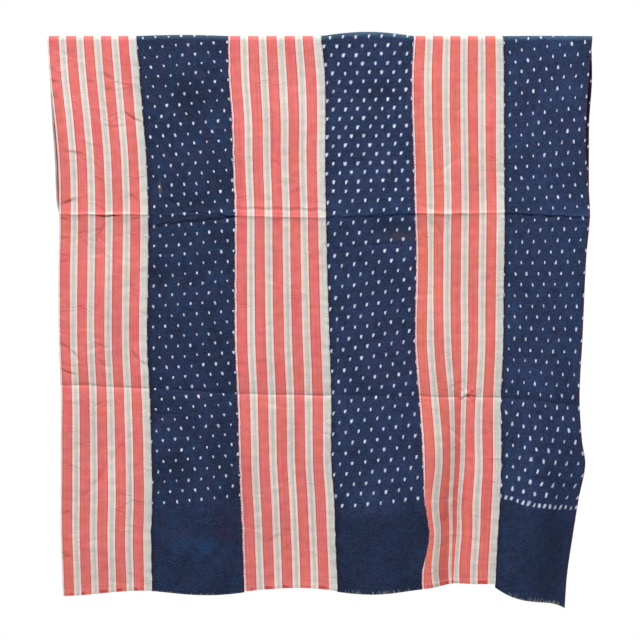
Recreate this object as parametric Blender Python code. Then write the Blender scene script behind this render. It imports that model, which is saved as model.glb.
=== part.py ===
"""A cloth of six woven cotton strips sewn side by side, hung doubled over an unseen thin rail.

The front layer faces -Y and the back layer +Y, with X to the right and Z up. The origin is under
the fold, at the middle of the width, where the rail would carry the cloth.
"""

import math
from collections import namedtuple

import bmesh
import bpy
from mathutils import Vector

MM = 0.001

# Driving sizes of the cloth and its fold
CLOTH_THICKNESS = 1.2 * MM
SEAM_GAP = 0.4 * MM
RAIL_RADIUS = 8.0 * MM
BEND_RADIUS = RAIL_RADIUS + CLOTH_THICKNESS / 2
QUARTER_BEND = BEND_RADIUS * math.pi / 2
CREST_FADES = 60.0 * MM
FRONT = -1
BACK = 1
BACK_FOLLOWS = 0.6

# Rows of points: angles round the rail, and shares of each section between two creases
BEND_ANGLES = (30.0, 60.0, 90.0)
FRONT_ROWS = (0.06, 0.20, 0.35, 0.50, 0.65, 0.80, 0.94, 1.0)
BACK_ROWS = (0.06, 0.28, 0.50, 0.72, 0.94, 1.0)

# Steps for the slopes of the surface, across in strips and down in metres
STEP_ACROSS = 0.004
STEP_DOWN = 0.5 * MM
JUST_INSIDE = 1e-9
SHARP_ANGLE = math.radians(50)

# The strips from left to right, in mm below the top of the fold. The front hem has four places
# across the strip, and the back hem two. Crest is how far the strip's top puffs up.
Strip = namedtuple(
    "Strip",
    "name finish columns hem_left hem_third hem_two_thirds hem_right back_left back_right crest",
)
STRIPS = (
    Strip("strip_1_striped", "striped", 6, 988.5, 984.5, 979.5, 979.5, 954, 951, 0.0),
    Strip("strip_2_dotted", "dotted", 6, 979.5, 982.5, 984.5, 981, 951, 953, 2.0),
    Strip("strip_3_striped", "striped", 6, 979.5, 975.5, 974.5, 979, 953, 952, 0.0),
    Strip("strip_4_dotted", "dotted", 6, 980, 983.5, 981, 975, 952, 953, 7.5),
    Strip("strip_5_striped", "striped", 8, 974.5, 969, 966, 966, 953, 949, 0.0),
    Strip("strip_6_dotted", "dotted", 8, 971.5, 992, 999, 1013, 949, 955, 0.5),
)

# Where the side edges and the seams hang, in mm from the middle, at levels below the top
Level = namedtuple("Level", "drop left seam_1 seam_2 seam_3 seam_4 seam_5 right")
FRONT_LEVELS = (
    Level(0, -480.5, -323.5, -161.0, 2.5, 166.5, 323.5, 481.5),
    Level(78, -475.0, -316.5, -159.5, 9.5, 163.0, 325.0, 475.0),
    Level(149, -467.0, -311.0, -154.0, 10.5, 164.0, 325.0, 470.5),
    Level(219, -461.0, -305.5, -152.5, 9.5, 166.5, 325.0, 470.5),
    Level(312, -459.0, -302.0, -149.0, 11.5, 168.5, 326.0, 476.5),
    Level(395, -460.5, -302.0, -149.0, 13.0, 171.0, 325.0, 470.0),
    Level(536, -460.5, -304.0, -149.0, 17.5, 168.5, 323.5, 463.5),
    Level(637, -457.0, -299.5, -144.5, 20.5, 175.5, 320.0, 458.5),
    Level(713, -457.0, -297.0, -142.0, 20.5, 180.5, 320.0, 463.0),
    Level(757, -457.0, -296.0, -141.0, 21.0, 182.5, 320.0, 469.5),
    Level(818, -457.0, -295.0, -138.5, 25.5, 185.0, 318.0, 459.0),
    Level(882, -457.0, -297.0, -135.5, 28.0, 193.0, 313.5, 449.5),
    Level(952, -454.5, -296.0, -133.0, 30.5, 180.5, 310.0, 440.0),
    Level(1012, -452.0, -295.0, -131.0, 31.0, 186.0, 307.5, 435.5),
)
BACK_LEVELS = (
    Level(0, -480.5, -323.5, -161.0, 2.5, 166.5, 323.5, 481.5),
    Level(78, -477.5, -317.0, -159.0, 8.0, 164.5, 325.0, 483.0),
    Level(149, -474.0, -312.0, -156.0, 8.5, 165.5, 325.0, 478.0),
    Level(219, -469.0, -307.0, -153.0, 9.0, 167.0, 325.0, 477.5),
    Level(290, -466.5, -304.0, -150.5, 10.5, 168.0, 324.5, 477.0),
    Level(330, -459.5, -303.0, -150.0, 11.0, 168.0, 324.0, 471.0),
    Level(520, -455.0, -300.0, -147.0, 15.0, 170.0, 318.0, 456.0),
    Level(760, -450.0, -296.0, -141.0, 21.0, 176.0, 312.0, 450.0),
    Level(960, -445.0, -291.0, -134.0, 26.0, 180.0, 303.0, 425.0),
)

# The level of the last row above the hems, the same at every seam
LAST_ROW = 958.0
BACK_LAST_ROW = 930.0

# Creases left by storage, in mm below the top at each side edge and seam. A crest stands
# towards the front, and a hollow has a negative height.
Crease = namedtuple("Crease", "left seam_1 seam_2 seam_3 seam_4 seam_5 right height reach")
CREASES = (
    Crease(314.5, 315.5, 317, 321.5, 313.5, 312.5, 319, 3.0, 22),
    Crease(615, 621, 631.5, 633.5, 636, 637, 652, -3.0, 22),
)

# Soft folds, in mm: where each runs from its start to the hem, its half width and its height
# towards the front, and the levels at which it starts and is full.
Fold = namedtuple("Fold", "name x_start x_hem half_width height starts full")
FOLDS = (
    Fold("left edge turned back", -468, -455, 32, -6, 100, 420),
    Fold("hollow along seam 1", -305, -297, 32, -4, 350, 900),
    Fold("swell of strip 2", -232, -214, 58, 12, 420, 960),
    Fold("hollow of strip 3", -62, -48, 60, -6, 300, 900),
    Fold("swell of strip 4", 92, 104, 52, 12, 480, 960),
    Fold("ridge beside the pleat", 190, 197, 24, 9, 320, 900),
    Fold("pleat under the tuft", 250, 235, 24, -17, 600, 900),
    Fold("ridge past the pleat", 286, 283, 26, 7, 600, 900),
    Fold("swell of strip 6", 392, 366, 44, 12, 480, 940),
    Fold("right edge turned back", 470, 434, 38, -24, 640, 960),
)

# Finishes: base colour, roughness
Finish = namedtuple("Finish", "colour roughness")
FINISHES = {
    "striped": Finish((0.78, 0.19, 0.17, 1.0), 0.85),
    "dotted": Finish((0.02, 0.033, 0.09, 1.0), 0.8),
}


def ease(value, start, end):
    """0 up to start, 1 from end, and smooth between them."""
    share = min(max((value - start) / (end - start), 0.0), 1.0)
    return share * share * (3 - 2 * share)


def blend(first, second, share):
    return first + (second - first) * share


def slope(levels, row, column):
    """How fast a column of the table changes at one of its rows."""
    before = levels[max(row - 1, 0)]
    after = levels[min(row + 1, len(levels) - 1)]
    return (after[column] - before[column]) / (after.drop - before.drop)


def edge_place(levels, column, drop):
    """Where a side edge or seam hangs at this level, on a smooth curve through the table."""
    row = 0
    while row < len(levels) - 2 and drop > levels[row + 1].drop:
        row += 1
    length = levels[row + 1].drop - levels[row].drop
    share = (drop - levels[row].drop) / length
    start = levels[row][column]
    end = levels[row + 1][column]
    start_slope = slope(levels, row, column) * length
    end_slope = slope(levels, row + 1, column) * length
    bend = (start_slope + end_slope + 2 * (start - end)) * share
    bend += 3 * (end - start) - 2 * start_slope - end_slope
    return start + (start_slope + bend * share) * share


def place_across(side, across, drop):
    """The place in mm from the middle. The whole part of across is the strip."""
    levels = FRONT_LEVELS if side == FRONT else BACK_LEVELS
    strip = min(int(across), len(STRIPS) - 1)
    left = edge_place(levels, 1 + strip, drop)
    right = edge_place(levels, 2 + strip, drop)
    return blend(left, right, across - strip)


def crease_level(crease, across):
    strip = min(int(across), len(STRIPS) - 1)
    return blend(crease[strip], crease[strip + 1], across - strip)


def relief(across, place, drop):
    """How far the cloth stands out towards the front, in mm."""
    height = 0.0
    for fold in FOLDS:
        middle = blend(fold.x_start, fold.x_hem, ease(drop, fold.starts, fold.full))
        offset = (place - middle) / fold.half_width
        height += fold.height * ease(drop, fold.starts, fold.full) * math.exp(-offset * offset)
    for crease in CREASES:
        distance = abs(drop - crease_level(crease, across))
        height += crease.height * math.exp(-distance / crease.reach)
    return height


def crest(across, drop):
    """How far the strip's top puffs up above the rail, in metres."""
    strip = min(int(across), len(STRIPS) - 1)
    arch = math.sin(math.pi * (across - strip))
    return STRIPS[strip].crest * MM * arch * (1 - ease(drop, 0.0, CREST_FADES))


def point_on_cloth(across, down):
    """The middle of the cloth's thickness. Down runs from the top, and is negative at the back."""
    side = FRONT if down >= 0 else BACK
    angle = min(abs(down) / BEND_RADIUS, math.pi / 2)
    drop = BEND_RADIUS * (1 - math.cos(angle)) + max(abs(down) - QUARTER_BEND, 0.0)
    place = place_across(side, across, drop / MM)
    share = 1.0 if side == FRONT else BACK_FOLLOWS
    depth = side * BEND_RADIUS * math.sin(angle) - share * relief(across, place, drop / MM) * MM
    height = CLOTH_THICKNESS / 2 - drop + crest(across, drop)
    return Vector((place * MM, depth, height))


def facing_on_cloth(across, down, first, last):
    """The direction that the outer face looks in, from slopes kept inside the strip."""
    left = point_on_cloth(max(across - STEP_ACROSS, first), down)
    right = point_on_cloth(min(across + STEP_ACROSS, last), down)
    above = point_on_cloth(across, down - STEP_DOWN)
    below = point_on_cloth(across, down + STEP_DOWN)
    return (below - above).cross(right - left).normalized()


def hem_drop(strip, side, share):
    """How far the hem hangs below the top, in metres, on a cubic through the four places."""
    if side == BACK:
        return blend(strip.back_left, strip.back_right, share) * MM
    places = (0.0, 1 / 3, 2 / 3, 1.0)
    drops = (strip.hem_left, strip.hem_third, strip.hem_two_thirds, strip.hem_right)
    total = 0.0
    for here, drop in zip(places, drops):
        weight = 1.0
        for other in places:
            if other != here:
                weight *= (share - other) / (here - other)
        total += weight * drop
    return total * MM


def rows_down(strip, side, across, share):
    """The places of the rows from the bend to the hem, as lengths from the top of the fold."""
    drops = []
    start = BEND_RADIUS
    ends = [crease_level(crease, across) * MM for crease in CREASES]
    ends.append((LAST_ROW if side == FRONT else BACK_LAST_ROW) * MM)
    for end in ends:
        for row in FRONT_ROWS if side == FRONT else BACK_ROWS:
            drops.append(blend(start, end, row))
        start = end
    drops.append(hem_drop(strip, side, share))
    bend = [BEND_RADIUS * math.radians(angle) for angle in BEND_ANGLES]
    return bend + [QUARTER_BEND - BEND_RADIUS + drop for drop in drops]


def strip_rows(number, strip):
    """For each column of points, its place across the cloth and its rows from back to front."""
    width = edge_place(FRONT_LEVELS, 2 + number, 0) - edge_place(FRONT_LEVELS, 1 + number, 0)
    inset = SEAM_GAP / MM / 2 / width
    for column in range(strip.columns + 1):
        share = column / strip.columns
        across = number + inset + share * (1 - 2 * inset)
        behind = rows_down(strip, BACK, across, share)
        ahead = rows_down(strip, FRONT, across, share)
        yield across, [-down for down in reversed(behind)] + [0.0] + ahead


def strip_mesh(number, strip):
    """One closed sheet: an outer and an inner face over the fold, joined round their rim."""
    shape = bmesh.new()
    outer = []
    inner = []
    first = number
    last = number + 1 - JUST_INSIDE
    for across, rows in strip_rows(number, strip):
        outer.append([])
        inner.append([])
        for down in rows:
            middle = point_on_cloth(across, down)
            half = facing_on_cloth(across, down, first, last) * CLOTH_THICKNESS / 2
            outer[-1].append(shape.verts.new(middle + half))
            inner[-1].append(shape.verts.new(middle - half))
    for columns, turned in ((outer, False), (inner, True)):
        for left, right in zip(columns, columns[1:]):
            for row in range(len(left) - 1):
                corners = (left[row], left[row + 1], right[row + 1], right[row])
                shape.faces.new(corners[::-1] if turned else corners)
    for column, turned in ((0, True), (-1, False)):
        close_edge(shape, outer[column], inner[column], turned)
    for row, turned in ((0, False), (-1, True)):
        close_edge(shape, [line[row] for line in outer], [line[row] for line in inner], turned)
    mesh = bpy.data.meshes.new(strip.name)
    shape.to_mesh(mesh)
    shape.free()
    mesh.shade_smooth()
    mesh.set_sharp_from_angle(angle=SHARP_ANGLE)
    return mesh


def close_edge(shape, outer, inner, turned):
    """The narrow faces along one edge of the strip, between its outer and inner face."""
    for index in range(len(outer) - 1):
        corners = (outer[index], outer[index + 1], inner[index + 1], inner[index])
        shape.faces.new(corners[::-1] if turned else corners)


def cloth_material(strip):
    finish = FINISHES[strip.finish]
    material = bpy.data.materials.new(strip.name)
    material.use_nodes = True
    shader = material.node_tree.nodes["Principled BSDF"]
    shader.inputs["Base Color"].default_value = finish.colour
    shader.inputs["Roughness"].default_value = finish.roughness
    shader.inputs["Metallic"].default_value = 0.0
    return material


def build_strip(number, strip):
    mesh = strip_mesh(number, strip)
    mesh.materials.append(cloth_material(strip))
    bpy.context.collection.objects.link(bpy.data.objects.new(strip.name, mesh))


def clear_scene():
    for thing in list(bpy.data.objects):
        bpy.data.objects.remove(thing)


def build_cloth():
    clear_scene()
    for number, strip in enumerate(STRIPS):
        build_strip(number, strip)


build_cloth()
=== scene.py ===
"""The looks of a cloth of six woven cotton strips, sewn side by side and hung doubled over a thin rail.

The front layer faces -Y and the back layer +Y, with X to the right and Z up, in metres. Tables of
places on the cloth are in mm: x across from the middle of the width, and drop down from the top of
the fold. The tables of edges, hems and folds follow the part's own, so that the cloth lies on its
solids.
"""

import math
from collections import namedtuple

import bpy
import numpy as np
from bpy.props import FloatProperty, FloatVectorProperty, IntProperty, PointerProperty
from bpy.types import Operator, Panel, PropertyGroup
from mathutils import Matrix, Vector


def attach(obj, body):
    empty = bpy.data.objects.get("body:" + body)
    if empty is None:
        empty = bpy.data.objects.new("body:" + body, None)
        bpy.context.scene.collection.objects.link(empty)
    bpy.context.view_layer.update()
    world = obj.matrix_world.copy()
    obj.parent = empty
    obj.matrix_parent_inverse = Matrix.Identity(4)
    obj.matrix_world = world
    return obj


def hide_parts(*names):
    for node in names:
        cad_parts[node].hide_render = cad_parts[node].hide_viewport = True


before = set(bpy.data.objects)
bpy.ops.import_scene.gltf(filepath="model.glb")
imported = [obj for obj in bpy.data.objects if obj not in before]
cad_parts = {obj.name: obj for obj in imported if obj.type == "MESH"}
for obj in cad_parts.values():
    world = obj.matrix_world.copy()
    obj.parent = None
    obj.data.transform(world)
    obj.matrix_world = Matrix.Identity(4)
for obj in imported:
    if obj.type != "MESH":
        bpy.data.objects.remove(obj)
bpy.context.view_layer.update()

bl_info = {
    "name": "Strip-woven hanging cloth",
    "version": (1, 0, 0),
    "blender": (4, 5, 0),
    "location": "3D View > Sidebar > Cloth",
    "description": "Striped and resist-dotted cotton strips, sewn together and hung doubled",
    "category": "Object",
}

MM = 0.001
FRONT = -1
BACK = 1

# The bend over the rail, as the solids have it
RAIL_RADIUS = 8.0
SOLID_THICKNESS = 1.2
BEND_RADIUS = RAIL_RADIUS + SOLID_THICKNESS / 2
QUARTER_BEND = BEND_RADIUS * math.pi / 2
CREST_FADES = 60.0
BACK_FOLLOWS = 0.6
SEAM_GAP = 0.4
SHARP_ANGLE = math.radians(60)

# The strips from left to right, with their hems in mm below the top of the fold
Strip = namedtuple(
    "Strip", "node finish hem_left hem_third hem_two_thirds hem_right back_left back_right crest"
)
STRIPS = (
    Strip("strip_1_striped", "striped", 988.5, 984.5, 979.5, 979.5, 954, 951, 0.0),
    Strip("strip_2_dotted", "dotted", 979.5, 982.5, 984.5, 981, 951, 953, 2.0),
    Strip("strip_3_striped", "striped", 979.5, 975.5, 974.5, 979, 953, 952, 0.0),
    Strip("strip_4_dotted", "dotted", 980, 983.5, 981, 975, 952, 953, 7.5),
    Strip("strip_5_striped", "striped", 974.5, 969, 966, 966, 953, 949, 0.0),
    Strip("strip_6_dotted", "dotted", 971.5, 992, 999, 1013, 949, 955, 0.5),
)
STRIP_WIDTH = 162.3
BACK_LENGTH = 952.0

# Where the side edges and the seams hang, at levels below the top:
# drop, left edge, the five seams, right edge
FRONT_LEVELS = np.array((
    (0, -480.5, -323.5, -161.0, 2.5, 166.5, 323.5, 481.5),
    (78, -475.0, -316.5, -159.5, 9.5, 163.0, 325.0, 475.0),
    (149, -467.0, -311.0, -154.0, 10.5, 164.0, 325.0, 470.5),
    (219, -461.0, -305.5, -152.5, 9.5, 166.5, 325.0, 470.5),
    (312, -459.0, -302.0, -149.0, 11.5, 168.5, 326.0, 476.5),
    (395, -460.5, -302.0, -149.0, 13.0, 171.0, 325.0, 470.0),
    (536, -460.5, -304.0, -149.0, 17.5, 168.5, 323.5, 463.5),
    (637, -457.0, -299.5, -144.5, 20.5, 175.5, 320.0, 458.5),
    (713, -457.0, -297.0, -142.0, 20.5, 180.5, 320.0, 463.0),
    (757, -457.0, -296.0, -141.0, 21.0, 182.5, 320.0, 469.5),
    (818, -457.0, -295.0, -138.5, 25.5, 185.0, 318.0, 459.0),
    (882, -457.0, -297.0, -135.5, 28.0, 193.0, 313.5, 449.5),
    (952, -454.5, -296.0, -133.0, 30.5, 180.5, 310.0, 440.0),
    (1012, -452.0, -295.0, -131.0, 31.0, 186.0, 307.5, 435.5),
))
BACK_LEVELS = np.array((
    (0, -480.5, -323.5, -161.0, 2.5, 166.5, 323.5, 481.5),
    (78, -477.5, -317.0, -159.0, 8.0, 164.5, 325.0, 483.0),
    (149, -474.0, -312.0, -156.0, 8.5, 165.5, 325.0, 478.0),
    (219, -469.0, -307.0, -153.0, 9.0, 167.0, 325.0, 477.5),
    (290, -466.5, -304.0, -150.5, 10.5, 168.0, 324.5, 477.0),
    (330, -459.5, -303.0, -150.0, 11.0, 168.0, 324.0, 471.0),
    (520, -455.0, -300.0, -147.0, 15.0, 170.0, 318.0, 456.0),
    (760, -450.0, -296.0, -141.0, 21.0, 176.0, 312.0, 450.0),
    (960, -445.0, -291.0, -134.0, 26.0, 180.0, 303.0, 425.0),
))
LAST_ROW = 958.0
BACK_LAST_ROW = 930.0

# Creases left by storage: their levels at each side edge and seam, height and reach
Crease = namedtuple("Crease", "levels height reach")
CREASES = (
    Crease((314.5, 315.5, 317, 321.5, 313.5, 312.5, 319), 3.0, 22),
    Crease((615, 621, 631.5, 633.5, 636, 637, 652), -3.0, 22),
)

# The part of their height that is still as broad as in the solids: the rest is a narrow line
CREASE_SHARE = 0.6

# Soft folds that run down to the hem
Fold = namedtuple("Fold", "name x_start x_hem half_width height starts full")
FOLDS = (
    Fold("left edge turned back", -468, -455, 32, -6, 100, 420),
    Fold("hollow along seam 1", -305, -297, 32, -4, 350, 900),
    Fold("swell of strip 2", -232, -214, 58, 12, 420, 960),
    Fold("hollow of strip 3", -62, -48, 60, -6, 300, 900),
    Fold("swell of strip 4", 92, 104, 52, 12, 480, 960),
    Fold("ridge beside the pleat", 190, 197, 24, 9, 320, 900),
    Fold("pleat under the tuft", 250, 235, 24, -17, 600, 900),
    Fold("ridge past the pleat", 286, 283, 26, 7, 600, 900),
    Fold("swell of strip 6", 392, 366, 44, 12, 480, 940),
    Fold("right edge turned back", 470, 434, 38, -24, 640, 960),
)

# Small wrinkles, each along a straight line between two places on the front layer. Height is
# towards the front, step lifts the side above the line and lowers the side below it.
Wrinkle = namedtuple("Wrinkle", "strip x_start drop_start x_end drop_end height step reach")
WRINKLES = [Wrinkle(*row) for row in (
    (1, -380, 65, -364, 78, -0.5, 0.6, 6),
    (1, -413, 78, -396, 81, -0.4, 0.5, 5),
    (1, -379, 91, -364, 94, -0.4, 0.5, 5),
    (1, -475, 78, -457, 81, -0.6, 0.6, 6),
    (1, -470, 107, -457, 111, -0.5, 0.4, 6),
    (1, -344, 134, -310, 155, -1.2, 1.2, 6),
    (1, -382, 159, -340, 159, -0.5, 0.5, 3),
    (1, -448, 201, -413, 209, 0.6, 0.8, 7),
    (1, -398, 220, -385, 238, -0.8, 0.5, 8),
    (1, -458, 299, -430, 284, -1.3, 1.2, 6),
    (1, -335, 276, -317, 294, -0.7, 0.6, 7),
    (1, -394, 317, -353, 317, 0.7, 0.8, 3),
    (1, -458, 321, -442, 325, -0.6, 0.6, 4),
    (1, -333, 325, -317, 321, -0.6, 0.6, 4),
    (1, -396, 364, -378, 328, -0.9, 0.7, 5),
    (1, -404, 360, -388, 330, 0.6, 0.3, 4),
    (1, -363, 355, -349, 349, -0.5, 0.5, 5),
    (1, -428, 349, -410, 345, -0.5, 0.5, 5),
    (1, -458, 358, -442, 355, -0.5, 0.6, 5),
    (1, -459, 385, -443, 389, -0.5, 0.5, 5),
    (1, -459, 400, -443, 397, -0.5, 0.5, 5),
    (1, -332, 434, -322, 465, -0.7, 0.5, 9),
    (1, -458, 542, -440, 552, -0.8, 0.8, 6),
    (1, -440, 552, -423, 571, -0.8, 0.8, 6),
    (1, -394, 566, -378, 580, -0.6, 0.6, 5),
    (1, -331, 555, -317, 571, -1.2, 1.0, 6),
    (1, -317, 571, -303, 580, -1.2, 1.0, 6),
    (1, -457, 588, -428, 597, -1.2, 1.1, 6),
    (1, -403, 658, -374, 642, -0.5, 0.4, 7),
    (1, -420, 813, -401, 796, -0.6, 0.5, 8),
    (1, -401, 796, -374, 751, -0.7, 0.5, 8),
    (1, -374, 751, -344, 715, -0.5, 0.4, 8),
    (1, -456, 844, -439, 836, -0.7, 0.6, 7),
    (1, -456, 912, -439, 917, -0.7, 0.6, 7),
    (2, -212, 54, -196, 67, -0.9, 0.8, 6),
    (2, -272, 283, -234, 310, -1.1, 1.0, 7),
    (2, -234, 310, -146, 319, -0.8, 0.8, 5),
    (2, -299, 337, -268, 331, -1.2, 1.0, 6),
    (2, -268, 331, -146, 319, -1.0, 0.9, 5),
    (2, -234, 569, -216, 578, -0.8, 0.6, 6),
    (2, -300, 664, -250, 666, -0.7, 0.7, 4),
    (2, -277, 677, -277, 685, -0.4, 0.0, 4),
    (3, -152, 45, -137, 94, -0.7, 0.3, 9),
    (3, -82, 217, -69, 231, -0.5, 0.5, 4),
    (3, -52, 245, -36, 246, -0.4, 0.4, 5),
    (3, -83, 261, -67, 257, -0.4, 0.4, 5),
    (3, -149, 303, 10, 305, 0.5, 0.7, 3),
    (3, -149, 309, 10, 313, 0.4, -0.5, 3),
    (3, -97, 893, -67, 877, -0.6, 0.5, 8),
    (4, 11, 320, 117, 316, -0.8, 0.8, 4),
    (4, 117, 316, 171, 313, -0.8, 0.8, 4),
    (4, 15, 373, 140, 364, -0.6, 0.5, 9),
    (5, 198, 360, 195, 466, -1.2, 0.0, 12),
    (5, 204, 322, 221, 364, -0.9, 0.7, 8),
    (6, 324, 313, 477, 321, -0.7, 0.8, 4),
)]

# Half the width of the steep side of a wrinkle, how far its line wanders, and how long its ends fade
FACET = 1.1
WANDER = 0.9
WANDER_LENGTH = 6.0
FADE_LENGTH = 12.0

# Broad soft hollows and swells: centre, half sizes and height towards the front
Swell = namedtuple("Swell", "x drop half_width half_height height")
SWELLS = [Swell(*row) for row in (
    (-243, 118, 30, 26, -2.2),
    (-214, 296, 34, 16, -1.6),
    (-281, 418, 18, 38, -1.6),
    (-178, 550, 14, 20, -1.3),
    (-241, 770, 20, 34, -1.5),
    (112, 105, 40, 22, -2.4),
    (138, 345, 34, 30, -2.0),
    (130, 300, 40, 10, 1.4),
    (76, 390, 60, 26, 1.0),
    (-70, 160, 55, 60, 1.2),
    (-400, 470, 50, 70, 1.2),
    (-400, 900, 40, 50, 1.0),
    (400, 200, 50, 60, 1.2),
    (-80, 760, 50, 80, 1.2),
    (390, 520, 40, 60, 1.0),
)]

# The small tied tuft on strip 5
TUFT_X = 260.0
TUFT_DROP = 632.6

# Rows of dots on each dotted strip, counted up from the last row: the row, its level at the
# strip's two edges, and how far it sags between them
DotRow = namedtuple("DotRow", "row drop_left drop_right sag")
DOT_ROWS = {
    2: (DotRow(0, 825, 810, 0), DotRow(20, 460, 450, 0), DotRow(40, 110, 95, 0), DotRow(46, 5, -5, 0)),
    4: (DotRow(0, 830, 815, 0), DotRow(20, 465, 445, 0), DotRow(30, 275, 270, 0), DotRow(46, 20, 15, 0)),
    6: (DotRow(-1, 810, 834, 6), DotRow(0, 793, 816, 4), DotRow(20, 420, 418, 0), DotRow(42, 12, -10, 0)),
}
# The column numbers of the dots that fall on each strip's left and right edge
DOT_COLUMNS = {2: (0.0, 7.1), 4: (-0.65, 6.5), 6: (-1.0, 6.1)}

# Folds that take up cloth on strip 5 and draw its stripes together: place at the start and at the
# hem, half width there, how much cloth each holds, and the levels where it grows and fades
Gather = namedtuple("Gather", "name x_start x_hem wide narrow taken starts full fades ends")
GATHERS = (
    Gather("crease beside the seam", 197, 197, 8, 8, 4, 280, 380, 440, 540),
    Gather("edge turned under", 190, 190, 9, 9, 13, 740, 850, 880, 1000),
    Gather("pleat under the tuft", 258, 235, 26, 4, 25, 520, 720, 1100, 1200),
)
FIRST_PINK = 12.2
HALF_PINK = 8.85


def ease(value, start, end):
    """0 up to start, 1 from end, and smooth between them."""
    share = np.clip((value - start) / (end - start), 0.0, 1.0)
    return share * share * (3 - 2 * share)


def blend(first, second, share):
    return first + (second - first) * share


def bell(distance, half_width):
    return np.exp(-((distance / half_width) ** 2))


def edge_place(levels, column, drop):
    """Where a side edge or seam hangs at these levels, on a smooth curve through the table."""
    drops = levels[:, 0]
    places = levels[:, column]
    slopes = np.empty(len(drops))
    slopes[1:-1] = (places[2:] - places[:-2]) / (drops[2:] - drops[:-2])
    slopes[0] = (places[1] - places[0]) / (drops[1] - drops[0])
    slopes[-1] = (places[-1] - places[-2]) / (drops[-1] - drops[-2])
    row = np.clip(np.searchsorted(drops, drop) - 1, 0, len(drops) - 2)
    length = drops[row + 1] - drops[row]
    share = (drop - drops[row]) / length
    start = places[row]
    end = places[row + 1]
    start_slope = slopes[row] * length
    end_slope = slopes[row + 1] * length
    bend = (start_slope + end_slope + 2 * (start - end)) * share
    bend = bend + 3 * (end - start) - 2 * start_slope - end_slope
    return start + (start_slope + bend * share) * share


def place_across(strip, share, drop, front):
    """The place in mm from the middle of a share of the strip's width, and the strip's width there."""
    left = np.where(front, edge_place(FRONT_LEVELS, strip, drop), edge_place(BACK_LEVELS, strip, drop))
    right = np.where(
        front, edge_place(FRONT_LEVELS, strip + 1, drop), edge_place(BACK_LEVELS, strip + 1, drop)
    )
    return blend(left, right, share), right - left


def crease_level(crease, strip, share):
    return blend(crease.levels[strip - 1], crease.levels[strip], share)


def main_relief(strip, share, place, drop):
    """The folds and creases that the solids have too, in mm towards the front."""
    height = np.zeros_like(place)
    for fold in FOLDS:
        middle = blend(fold.x_start, fold.x_hem, ease(drop, fold.starts, fold.full))
        height += fold.height * ease(drop, fold.starts, fold.full) * bell(place - middle, fold.half_width)
    for crease in CREASES:
        distance = np.abs(drop - crease_level(crease, strip, share))
        height += CREASE_SHARE * crease.height * np.exp(-distance / crease.reach)
    return height


def wrinkle_relief(place, drop):
    """The small wrinkles, each faded at its ends."""
    height = np.zeros_like(place)
    for wrinkle in WRINKLES:
        along_x = wrinkle.x_end - wrinkle.x_start
        along_drop = wrinkle.drop_end - wrinkle.drop_start
        length = math.hypot(along_x, along_drop)
        from_x = place - wrinkle.x_start
        from_drop = drop - wrinkle.drop_start
        along = (from_x * along_x + from_drop * along_drop) / length
        below = (from_drop * along_x - from_x * along_drop) / length
        if along_x < 0:
            below = -below
        fade = min(FADE_LENGTH, length / 2)
        ends = ease(along, -fade / 2, fade) * (1 - ease(along, length - fade, length + fade / 2))
        below = below + WANDER * np.sin(along / WANDER_LENGTH + wrinkle.x_start)
        near = np.exp(-np.abs(below) / (0.7 * wrinkle.reach))
        stepped = -wrinkle.step * np.tanh(below / FACET) * np.exp(-np.abs(below) / (1.6 * wrinkle.reach))
        height += ends * (0.7 * wrinkle.height * near + 1.15 * stepped)
    return height


def sharp_creases(strip, share, place, drop):
    """The pressed lines of the storage creases: a crest and a hollow, stronger here and weaker there."""
    height = np.zeros_like(place)
    for number, crease in enumerate(CREASES):
        wander = 1.2 * waves(place, np.zeros_like(drop), 20 + number, 5, 30, 120)
        distance = drop - crease_level(crease, strip, share) + wander
        strength = 0.75 + 0.4 * waves(place, np.zeros_like(drop), 24 + number, 5, 40, 160)
        sign = 1 if crease.height > 0 else -1
        line = 0.75 * np.exp(-np.abs(distance) / 2.5) + 0.3 * np.exp(-np.abs(distance) / 8)
        height += sign * strength * line
    return height


STRAY_COUNTS = (95, 55, 50, 55, 55, 50)


def stray_relief(place, drop, front):
    """Faint wrinkles in no order, most of them nearly level, over both layers."""
    height = np.zeros_like(place)
    for side, seed in ((True, 300), (False, 330)):
        random = np.random.default_rng(seed)
        here = front == side
        if not here.any():
            continue
        x = place[here]
        level = drop[here]
        total = np.zeros_like(x)
        for strip, count in enumerate(STRAY_COUNTS):
            for _ in range(count):
                middle_x = -480 + 160.5 * (strip + random.uniform(0, 1))
                middle_drop = random.uniform(25, 975)
                half_length = random.uniform(9, 34)
                angle = random.normal(0, 0.5)
                reach = random.uniform(2.0, 5.5)
                rise = random.uniform(0.2, 0.75) * reach / 4 * random.choice((-1.0, 1.0))
                bow = random.uniform(-0.006, 0.006)
                if middle_x + half_length < x.min() or middle_x - half_length > x.max():
                    continue
                along = (x - middle_x) * math.cos(angle) + (level - middle_drop) * math.sin(angle)
                below = (level - middle_drop) * math.cos(angle) - (x - middle_x) * math.sin(angle)
                below = below - bow * along**2
                near = (np.abs(along) < half_length * 2.2) & (np.abs(below) < reach * 4)
                fade = np.exp(-((along[near] / half_length) ** 2))
                steep = below[near] / FACET
                shape = 0.5 * np.exp(-np.abs(below[near]) / reach)
                shape -= 0.6 * np.tanh(steep) * np.exp(-np.abs(below[near]) / (1.5 * reach))
                total[near] += rise * fade * shape
        height[here] = total
    return height


def spot(row, place, drop):
    """From 1 in the middle of a swell or patch to 0 far outside it."""
    across = (place - row.x) / row.half_width
    down = (drop - row.drop) / row.half_height
    return np.exp(-(across**2) - down**2)


def swell_relief(place, drop):
    height = np.zeros_like(place)
    for swell in SWELLS:
        height += swell.height * spot(swell, place, drop)
    return height


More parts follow.
